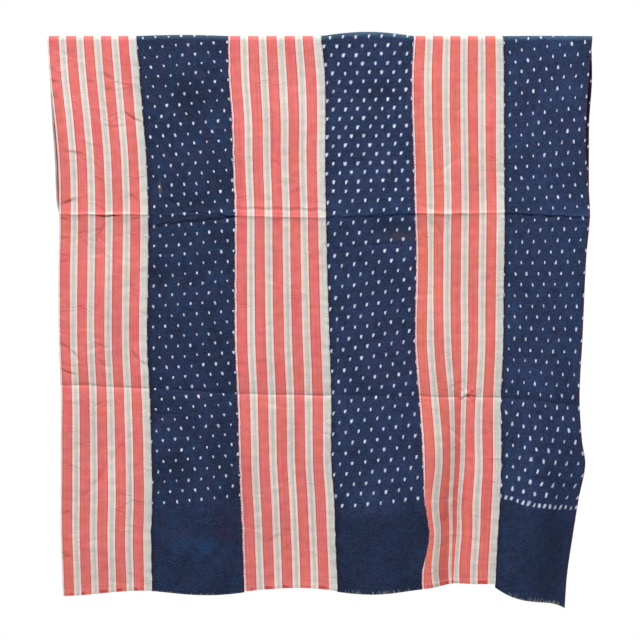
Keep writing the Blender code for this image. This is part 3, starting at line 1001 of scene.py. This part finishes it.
def dotted_finish(strip, settings, indigo):
    """An indigo ground with uneven dye, and white dots that were tied off before dyeing."""
    finish = Finish(f"indigo_cotton_{strip}")
    seed = float(strip * 7)
    u, v = finish.plane("cloth")
    column, row = finish.plane("dots")
    tone, hue, stain, wear = [finish.number(name) for name in ("tone", "hue", "stain", "wear")]
    height, warp_run, weft_run = weave(finish, u, v, seed)
    height = height + fine_creases(finish, u, v, seed) * 0.0008

    nearest = (row + 0.5).floor()
    flipped = (nearest > STEPPED_ROW) if strip != 6 else 0.0
    staggered = (nearest + flipped) % 2.0
    shift = staggered * 0.5
    dense = nearest < -0.5
    shift = shift * (1 - dense)
    scale = 1.0 + dense
    cell = (column - shift) * scale
    middle = (cell + 0.5).floor()
    point = finish.at(middle, nearest, seed)
    sideways, upward, lean = finish.chances(point)
    size, taper, bright = finish.chances(finish.at(middle, nearest, seed + 3.0))
    across = (cell - middle) * COLUMN_PITCH / scale + (sideways - 0.5) * 1.5
    above = (row - nearest) * ROW_PITCHES[strip] + (upward - 0.5) * 1.8
    if strip == 6:
        low = 1 - finish.smooth(row, 1.0, 12.0)
        across = across - above * (low * 0.2 + (lean - 0.5) * 0.5)
        taper = (taper - 0.65) * 0.7
    elif strip == 4:
        across = across - above * (0.05 + lean * 0.25)
        taper = 0.15 + taper * 0.2
    else:
        across = across + above * (lean - 0.35) * 0.45
        taper = (taper - 0.2) * 0.7
    ragged = finish.noise(finish.at(u * 1400.0, v * 900.0, seed + 1.0), detail=1.0) - 0.5
    slim = 0.8 + sideways * 0.4
    evenness = 0.45 if strip == 4 else 1.0
    half_width = indigo.dot_width / MM / 2 * (0.95 + (size - 0.5) * 0.4 * evenness) * slim
    half_height = indigo.dot_height / MM / 2 * (1.0 + (size - 0.5) * 0.45 * evenness)
    if strip == 4:
        larger = nearest > STEPPED_ROW
        half_width = half_width * (1.2 + larger * 0.25)
        half_height = half_height * (1.2 + larger * 0.25)
    elif strip == 6:
        half_width = half_width * (0.95 + low * 0.35 + dense * 0.45)
        half_height = half_height * (1.1 + low * 0.3 + dense * 0.25)
    upright = above / half_height
    waist = (upright * upright - 0.4) * (lean * 0.35)
    sidelong = across / (half_width * (1.0 + taper * upright + waist))
    distance = (abs(sidelong) ** 2.6 + abs(upright) ** 2.6) ** (1 / 2.6) + ragged * 0.4
    dot = 1 - finish.smooth(distance, 0.62, 1.32)
    dot = dot * (0.62 + bright * 0.38)
    last_row = -1.5 if strip == 6 else -0.5
    dot = dot * (row > last_row) * (row < TOP_ROW)

    # Broad diagonal bands of lighter and darker ground: painted shade of diagonal wrinkles, laid at random.
    broad = finish.noise(finish.at(u * 16.0 + v * 9.0, v * 15.0 - u * 8.0, seed))
    mottle = finish.noise(finish.at(u * 110.0, v * 70.0, seed + 2.0), detail=4.0, roughness=0.6)
    tint = finish.noise(finish.at(u * 60.0, v * 36.0, seed + 6.0), detail=3.0)
    fine = finish.noise(finish.at(u * 480.0, v * 330.0, seed + 8.0), detail=1.0)
    ground = finish.mix(finish.smooth(mottle, 0.2, 0.6), tuple(indigo.dark), tuple(indigo.ground))
    tinting = 0.5 if strip == 2 else 0.25
    bluer = finish.smooth(tint - hue * 0.25, 0.50, 0.75)
    ground = finish.mix(bluer * tinting, ground, tuple(indigo.blue))
    redder = finish.smooth(tint - hue * 0.25, 0.50, 0.25)
    ground = finish.mix(redder * tinting, ground, tuple(indigo.purple))
    edge = 1 - finish.smooth(u * 1000.0, 1.0, 12.0)
    other_edge = finish.smooth(u * 1000.0, STRIP_WIDTH - 8.0, STRIP_WIDTH - 0.8)
    ground = finish.mix(edge * 0.7, ground, tuple(indigo.dark))
    ground = finish.mix(other_edge * 0.7, ground, tuple(indigo.maroon))
    # A near-black line along the left selvedge, beside the striped neighbour that stands proud: painted
    # shadow of the seam gap.
    seam_painted_shadow = 1 - finish.smooth(u * 1000.0, 1.6, 2.8)
    ground = finish.mix(seam_painted_shadow * 0.9, ground, tuple(indigo.seam))
    top_of_fold = 1 - finish.smooth(abs(v * 1000.0), 3.0, 11.0)
    ground = finish.mix(top_of_fold * 0.5, ground, tuple(indigo.teal))
    factor = 1.0 + (warp_run - 0.5) * 0.4 + (weft_run - 0.5) * 0.4
    factor = factor + (fine - 0.5) * 2.7 + (broad - 0.5) * 1.0
    above_band, in_band = GROUND_LEVELS[strip]
    factor = factor * (in_band + finish.smooth(row, -1.9, -0.6) * (above_band - in_band))
    # The tone patches and the crease and ridge lines lighten and darken the colour, much of it painted
    # light and shade.
    factor = factor * (1.0 + tone * 0.5) * (1.0 + wear * 0.2)
    ground = finish.shade(ground, factor)
    ground = finish.mix(stain * 0.8, ground, linear(150, 118, 96))
    colour = finish.mix(dot, ground, tuple(indigo.dot))
    roughness = 0.78 + (warp_run - 0.5) * 0.2
    return finish.close(colour, roughness, height, settings)


def thread_finish(name, colour):
    """Sewing thread: two plies twisted together."""
    finish = Finish(name)
    u, v = finish.plane("cloth")
    ply = abs(((u * 3.0 + v * 2.0) * math.pi).cosine())
    uneven = finish.noise(finish.at(u * 5.0, v * 40.0, 2.0))
    # Darker in the grooves between the plies, where the bump is low: painted shade.
    colour = finish.shade(colour, 0.8 + ply * 0.2 + (uneven - 0.5) * 0.5)
    shader = finish.node("ShaderNodeBsdfPrincipled", Roughness=0.8, Metallic=0.0)
    finish.feed(shader.inputs["Base Color"], colour)
    bump = finish.node("ShaderNodeBump", Strength=0.4, Distance=0.0002, Height=ply)
    finish.feed(shader.inputs["Normal"], bump.outputs["Normal"])
    return finish.output(shader)


def thread_tubes(paths, radius, sides, taper=0.0):
    """Thin tubes along many short paths with the same number of points, joined in one mesh."""
    tangents = np.gradient(paths, axis=1)
    tangents /= np.linalg.norm(tangents, axis=-1, keepdims=True)
    guide = np.where(np.abs(tangents[..., 1:2]) < 0.9, (0.0, 1.0, 0.0), (1.0, 0.0, 0.0))
    first = np.cross(tangents, guide)
    first /= np.linalg.norm(first, axis=-1, keepdims=True)
    second = np.cross(tangents, first)
    count, length = paths.shape[:2]
    along = np.linspace(0, 1, length)
    widths = radius * (1 - taper * along)
    rings = []
    for side in range(sides):
        angle = 2 * math.pi * side / sides
        rings.append(paths + (math.cos(angle) * first + math.sin(angle) * second) * widths[:, None])
    points = np.stack(rings, axis=2)
    number = np.arange(count * length * sides).reshape(count, length, sides)
    nearer = number[:, :-1]
    farther = number[:, 1:]
    turned = np.roll(number, -1, axis=2)
    quads = np.stack((nearer, turned[:, :-1], turned[:, 1:], farther), axis=-1).reshape(-1, 4)
    caps = number[:, 0].tolist() + number[:, -1, ::-1].tolist()
    around = np.broadcast_to(np.arange(sides) / sides, points.shape[:3])
    lengthwise = np.broadcast_to(along[:, None], points.shape[:3])
    uv = np.stack((around, lengthwise), axis=-1).reshape(-1, 2)
    return points.reshape(-1, 3), quads.tolist() + caps, uv


def thread_piece(name, paths, radius, material, sides=4, taper=0.0):
    points, faces, uv = thread_tubes(paths, radius, sides, taper)
    mesh = bpy.data.meshes.new(name)
    mesh.from_pydata(points.tolist(), [], faces)
    mesh.update()
    mesh.shade_smooth()
    add_uv(mesh, "cloth", uv)
    mesh.materials.append(material)
    return add_piece(name, mesh)


def surface_frame(strip, share, down):
    """Points on the cloth's outer face and the directions outward there."""
    step_share = 0.004
    step_down = 0.6
    here, _ = lay_cloth(strip, share, down)
    left, _ = lay_cloth(strip, share - step_share, down)
    right, _ = lay_cloth(strip, share + step_share, down)
    above, _ = lay_cloth(strip, share, down - step_down)
    below, _ = lay_cloth(strip, share, down + step_down)
    normal = np.cross(below - above, right - left)
    return here, normal / np.linalg.norm(normal, axis=-1, keepdims=True)


# How far a stitch reaches over a striped strip and over a dotted one, on the left and the right of a
# seam, how much it leans, and how far it stands up and dips into the cloth at its ends
STRIPED_REACHES = (2.6, 1.8)
DOTTED_REACHES = (0.7, 0.8)
STITCH_SLANT = 2.2
STITCH_RISE = 0.0003


def stitch_paths(seam, sewing, thickness):
    """Slanted over-and-over stitches along one seam, from the hem at the back to the front hem."""
    random = np.random.default_rng(100 + seam)
    pitch = sewing.pitch / MM
    lowest = min(STRIPS[seam - 1].hem_right, STRIPS[seam].hem_left) - 6
    start = -(BACK_LENGTH - 12)
    count = int((lowest - start) / pitch)
    down = start + pitch * (np.arange(count) + random.uniform(-0.18, 0.18, count))
    pale_left = STRIPS[seam - 1].finish == "striped"
    reach_left = (STRIPED_REACHES if pale_left else DOTTED_REACHES)[0]
    reach_right = (DOTTED_REACHES if pale_left else STRIPED_REACHES)[1]
    paths = []
    for along in np.linspace(-1, 1, 7):
        side = np.where(along < 0, reach_left, reach_right) * (1 + random.uniform(-0.15, 0.15, count))
        offset = along * side
        shares = offset / STRIP_WIDTH
        level = down + along * STITCH_SLANT / 2
        if along < 0:
            point, normal = surface_frame(seam, 1 + shares, level)
        else:
            point, normal = surface_frame(seam + 1, shares, level)
        rise = thickness / 2 + STITCH_RISE * (1 - along**4) - STITCH_RISE * along**8
        paths.append(point + normal * rise)
    return np.stack(paths, axis=1)


# Frayed stretches of the hems: where each starts and ends, how many loose ends and the longest
Fray = namedtuple("Fray", "strip x_start x_end count longest")
FRAYS = (
    Fray(2, -290, -142, 60, 2.6),
    Fray(4, 45, 160, 62, 6.5),
    Fray(6, 326, 425, 70, 7.0),
    Fray(1, -450, -304, 18, 2.0),
)


def fray_paths(fray, thickness):
    """Loose warp ends that curl up over the face of a cut hem."""
    random = np.random.default_rng(200 + fray.strip)
    drop = hem_drop(fray.strip, True, 0.5)
    left = edge_place(FRONT_LEVELS, fray.strip, drop)
    right = edge_place(FRONT_LEVELS, fray.strip + 1, drop)
    share = (random.uniform(fray.x_start, fray.x_end, fray.count) - left) / (right - left)
    share = np.clip(share, 0.02, 0.98)
    hem = hem_drop(fray.strip, True, share) + QUARTER_BEND - BEND_RADIUS
    length = fray.longest * random.uniform(0.25, 1.0, fray.count) ** 1.5
    sway = random.uniform(-0.45, 0.45, fray.count)
    below = random.uniform(-0.3, 1.2, fray.count)
    paths = []
    for along in np.linspace(0, 1, 6):
        shifted = share + along * length * sway / STRIP_WIDTH
        level = hem - 1.0 - length * along
        point, normal = surface_frame(fray.strip, shifted, level)
        stands = thickness / 2 + (0.75 + 0.5 * math.sin(math.pi * along)) * MM
        point = point + normal * stands
        point[:, 2] -= below * MM * (1 - along)
        paths.append(point)
    return np.stack(paths, axis=1)


def colour_setting(name, description, red, green, blue):
    return FloatVectorProperty(
        name=name, description=description, default=linear(red, green, blue), subtype="COLOR", size=4
    )


def length_setting(name, description, default):
    return FloatProperty(name=name, description=description, default=default, unit="LENGTH")


def power_setting(name, description, default):
    return FloatProperty(name=name, description=description + " in watts", default=default, unit="POWER")


class ClothSettings(PropertyGroup):
    """Sizes of the woven strips."""

    thickness: length_setting("Thickness", "Thickness of the woven cloth", 1.0 * MM)
    points_across: IntProperty(
        name="Points across", description="Points across each strip", default=85, min=9
    )
    weave_strength: FloatProperty(
        name="Weave", description="How strongly the weave shows", default=0.35, subtype="FACTOR"
    )


class StripeSettings(PropertyGroup):
    """Colours of the striped strips."""

    repeat: length_setting("Repeat", "Width of one pink and one pale stripe", 31.7 * MM)
    pink: colour_setting("Pink", "Colour of the wide stripes", 228, 120, 118)
    coral: colour_setting("Coral", "Colour of the wide stripes on strip 5", 228, 121, 114)
    border: colour_setting("Border", "Colour of the yarns at the edges of a pink stripe", 202, 100, 96)
    pale_pink: colour_setting("Pale pink", "First colour of a pale stripe", 244, 212, 207)
    cream: colour_setting("Cream", "Second colour of a pale stripe", 222, 212, 202)
    grey: colour_setting("Grey", "Third colour of a pale stripe", 205, 202, 194)
    white: colour_setting("White", "Last colour of a pale stripe", 242, 217, 212)
    edge: colour_setting("Edge", "Colour of the right edge", 210, 210, 204)
    salmon: colour_setting("Salmon", "Tint where the dye is yellower", 255, 248, 226)
    rose: colour_setting("Rose", "Tint where the dye is redder", 255, 228, 232)
    hem: colour_setting("Hem", "Colour of the marks on the turned hem", 176, 52, 58)
    selvedge: colour_setting("Selvedge", "Colour of the left selvedge", 242, 196, 206)


class IndigoSettings(PropertyGroup):
    """Colours and dots of the indigo strips."""

    ground: colour_setting("Ground", "Colour of the indigo ground", 36, 50, 81)
    dark: colour_setting("Dark", "Colour of the deepest dye", 26, 34, 58)
    blue: colour_setting("Blue", "Colour where the dye is bluer", 32, 60, 100)
    purple: colour_setting("Purple", "Colour where the dye is purplish", 52, 46, 78)
    maroon: colour_setting("Maroon", "Colour along the right selvedge", 58, 34, 56)
    seam: colour_setting("Seam", "Colour of the line at the left selvedge", 32, 24, 40)
    # The seam colour paints the shadow in the seam gap beside the left selvedge.
    teal: colour_setting("Teal", "Colour of the faded top of the fold", 62, 92, 112)
    dot: colour_setting("Dot", "Colour of the resist dots", 218, 226, 248)
    dot_width: length_setting("Dot width", "Width of a dot", 3.3 * MM)
    dot_height: length_setting("Dot height", "Height of a dot", 5.0 * MM)


class SewingSettings(PropertyGroup):
    """The hand-sewn seams and the frayed hems."""

    pitch: length_setting("Stitch pitch", "Distance between stitches", 4.8 * MM)
    thread_radius: length_setting("Thread radius", "Radius of the sewing thread", 0.26 * MM)
    fray_radius: length_setting("Loose end radius", "Radius of a loose warp end", 0.3 * MM)
    thread: colour_setting("Thread", "Colour of the sewing thread", 214, 200, 204)
    fray: colour_setting("Fray", "Colour of the loose ends at the hems", 178, 178, 162)


class StageSettings(PropertyGroup):
    """The camera, the lights, the floor and the white surroundings."""

    photo_scale: length_setting("Photo scale", "Width of one pixel of the photo at the cloth", 1.762 * MM)
    camera_distance: length_setting("Camera distance", "From the camera to the cloth's front", 2.9914)
    key_power: power_setting("Key light", "Power of the key light", 1110.0)
    fill_power: power_setting("Fill light", "Power of the fill light", 3.0)
    back_power: power_setting("Back light", "Power of the light behind", 260.0)
    floor_drop: length_setting("Floor drop", "How far the floor lies below the rail", 1.6)
    floor_width: length_setting("Floor width", "Width of the floor", 5.0)
    sky: FloatProperty(name="Sky", description="Strength of the light from all around", default=0.125)


def hang_strips(finish_name, settings, make_finish, colours):
    for number, row in enumerate(STRIPS, start=1):
        if row.finish != finish_name:
            continue
        cloth = make_strip(number, settings)
        cloth.data.materials.append(make_finish(number, settings, colours))
        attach(cloth, "root")
        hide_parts(row.node)


class CLOTH_OT_striped_strips(Operator):
    """Hang the three striped strips"""

    bl_idname = "cloth.striped_strips"
    bl_label = "Striped strips"

    def execute(self, context):
        scene = context.scene
        hang_strips("striped", scene.cloth_sizes, striped_finish, scene.cloth_stripes)
        return {"FINISHED"}


class CLOTH_OT_dotted_strips(Operator):
    """Hang the three indigo strips with resist dots"""

    bl_idname = "cloth.dotted_strips"
    bl_label = "Dotted strips"

    def execute(self, context):
        scene = context.scene
        hang_strips("dotted", scene.cloth_sizes, dotted_finish, scene.cloth_indigo)
        return {"FINISHED"}


class CLOTH_OT_seams(Operator):
    """Sew the five seams with over-and-over stitches"""

    bl_idname = "cloth.seams"
    bl_label = "Seams"

    def execute(self, context):
        scene = context.scene
        sewing = scene.cloth_sewing
        material = thread_finish("sewing_thread", tuple(sewing.thread))
        for seam in range(1, 6):
            paths = stitch_paths(seam, sewing, scene.cloth_sizes.thickness)
            piece = thread_piece(f"seam_{seam}_stitches", paths, sewing.thread_radius, material, sides=4)
            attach(piece, "root")
        return {"FINISHED"}


class CLOTH_OT_frayed_hems(Operator):
    """Lay the loose warp ends over the cut hems"""

    bl_idname = "cloth.frayed_hems"
    bl_label = "Frayed hems"

    def execute(self, context):
        scene = context.scene
        sewing = scene.cloth_sewing
        material = thread_finish("hem_yarn", tuple(sewing.fray))
        for fray in FRAYS:
            paths = fray_paths(fray, scene.cloth_sizes.thickness)
            name = f"strip_{fray.strip}_hem_ends"
            piece = thread_piece(name, paths, sewing.fray_radius, material, taper=0.5)
            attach(piece, "root")
        return {"FINISHED"}


class CLOTH_OT_declare(Operator):
    """Does nothing"""

    bl_idname = "cloth.declare"
    bl_label = "Flat sizes"

    def execute(self, context):
        return {"FINISHED"}


def white_surroundings(scene, sky):
    """A world that looks white and lights the cloth softly from all around."""
    world = bpy.data.worlds.new("white_surroundings")
    world.use_nodes = True
    nodes = world.node_tree.nodes
    links = world.node_tree.links
    nodes.clear()
    seen = nodes.new("ShaderNodeBackground")
    lighting = nodes.new("ShaderNodeBackground")
    for background, strength in ((seen, 1.0), (lighting, sky)):
        background.inputs["Color"].default_value = (1.0, 1.0, 1.0, 1.0)
        background.inputs["Strength"].default_value = strength
    ray = nodes.new("ShaderNodeLightPath")
    either = nodes.new("ShaderNodeMixShader")
    output = nodes.new("ShaderNodeOutputWorld")
    links.new(ray.outputs["Is Camera Ray"], either.inputs[0])
    links.new(lighting.outputs["Background"], either.inputs[1])
    links.new(seen.outputs["Background"], either.inputs[2])
    links.new(either.outputs["Shader"], output.inputs["Surface"])
    scene.world = world


def lay_floor(stage):
    """A plain pale floor below the cloth, which throws no light up at it."""
    half = stage.floor_width / 2
    level = -stage.floor_drop
    corners = [(-half, -half, level), (half, -half, level), (half, half, level), (-half, half, level)]
    mesh = bpy.data.meshes.new("floor")
    mesh.from_pydata(corners, [], [(0, 1, 2, 3)])
    mesh.update()
    finish = Finish("floor_paint")
    colour = linear(238, 237, 234)
    shader = finish.node("ShaderNodeBsdfPrincipled", Metallic=0.0, Roughness=0.9, Base_Color=colour)
    mesh.materials.append(finish.output(shader))
    floor = add_piece("floor", mesh)
    floor.visible_diffuse = False


# The lamps round the cloth, each with the setting that holds its power
Lamp = namedtuple("Lamp", "name place size power_setting")
LAMPS = (
    Lamp("key", (-1.0, -5.2, 6.8), 1.45, "key_power"),
    Lamp("fill", (1.6, -2.2, -0.6), 1.6, "fill_power"),
    Lamp("back", (1.4, 4.0, 2.6), 1.6, "back_power"),
)


def add_light(row, target, power):
    light = bpy.data.lights.new(row.name, "AREA")
    light.shape = "DISK"
    light.size = row.size
    light.energy = power
    lamp = add_piece(row.name, light)
    lamp.location = row.place
    direction = target - lamp.location
    lamp.rotation_euler = direction.to_track_quat("-Z", "Y").to_euler()


# The picture's width and the row of its middle below the top of the cloth, in pixels
PICTURE_WIDTH = 640
MIDDLE_ROW = 284.5
SENSOR_WIDTH = 36.0
CAMERA_X = 0.0009


class CLOTH_OT_stage(Operator):
    """Set up the camera, the lights, the floor and the white surroundings"""

    bl_idname = "cloth.stage"
    bl_label = "Stage"

    def execute(self, context):
        scene = context.scene
        stage = scene.cloth_stage
        front = -BEND_RADIUS * MM
        height = SOLID_THICKNESS / 2 * MM - MIDDLE_ROW * stage.photo_scale
        centre = Vector((CAMERA_X, front, height))
        camera_data = bpy.data.cameras.new("camera")
        camera_data.sensor_width = SENSOR_WIDTH
        picture_width = PICTURE_WIDTH * stage.photo_scale
        camera_data.lens = camera_data.sensor_width * stage.camera_distance / picture_width
        camera = bpy.data.objects.new("camera", camera_data)
        camera.location = centre + Vector((0.0, -stage.camera_distance, 0.0))
        camera.rotation_euler = (math.radians(90), 0.0, 0.0)
        scene.collection.objects.link(camera)
        scene.camera = camera

        white_surroundings(scene, stage.sky)
        lay_floor(stage)
        for row in LAMPS:
            add_light(row, centre, getattr(stage, row.power_setting))
        scene.view_settings.view_transform = "Standard"
        return {"FINISHED"}


class CLOTH_PT_panel(Panel):
    """Lists the pieces of the hanging cloth"""

    bl_idname = "CLOTH_PT_panel"
    bl_label = "Hanging cloth"
    bl_space_type = "VIEW_3D"
    bl_region_type = "UI"
    bl_category = "Cloth"

    def draw(self, context):
        for operator in OPERATORS:
            self.layout.operator(operator.bl_idname)


SETTINGS = {
    "cloth_sizes": ClothSettings,
    "cloth_stripes": StripeSettings,
    "cloth_indigo": IndigoSettings,
    "cloth_sewing": SewingSettings,
    "cloth_stage": StageSettings,
}
OPERATORS = (
    CLOTH_OT_striped_strips,
    CLOTH_OT_dotted_strips,
    CLOTH_OT_seams,
    CLOTH_OT_frayed_hems,
    CLOTH_OT_declare,
    CLOTH_OT_stage,
)


def register():
    for name, group in SETTINGS.items():
        bpy.utils.register_class(group)
        setattr(bpy.types.Scene, name, PointerProperty(type=group))
    for operator in OPERATORS:
        bpy.utils.register_class(operator)
    bpy.utils.register_class(CLOTH_PT_panel)


def unregister():
    bpy.utils.unregister_class(CLOTH_PT_panel)
    for operator in reversed(OPERATORS):
        bpy.utils.unregister_class(operator)
    for name, group in SETTINGS.items():
        delattr(bpy.types.Scene, name)
        bpy.utils.unregister_class(group)


def main():
    register()
    bpy.ops.cloth.striped_strips()
    bpy.ops.cloth.dotted_strips()
    bpy.ops.cloth.seams()
    bpy.ops.cloth.frayed_hems()
    bpy.ops.cloth.declare()
    bpy.ops.cloth.stage()
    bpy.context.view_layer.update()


if __name__ == "__main__":
    main()
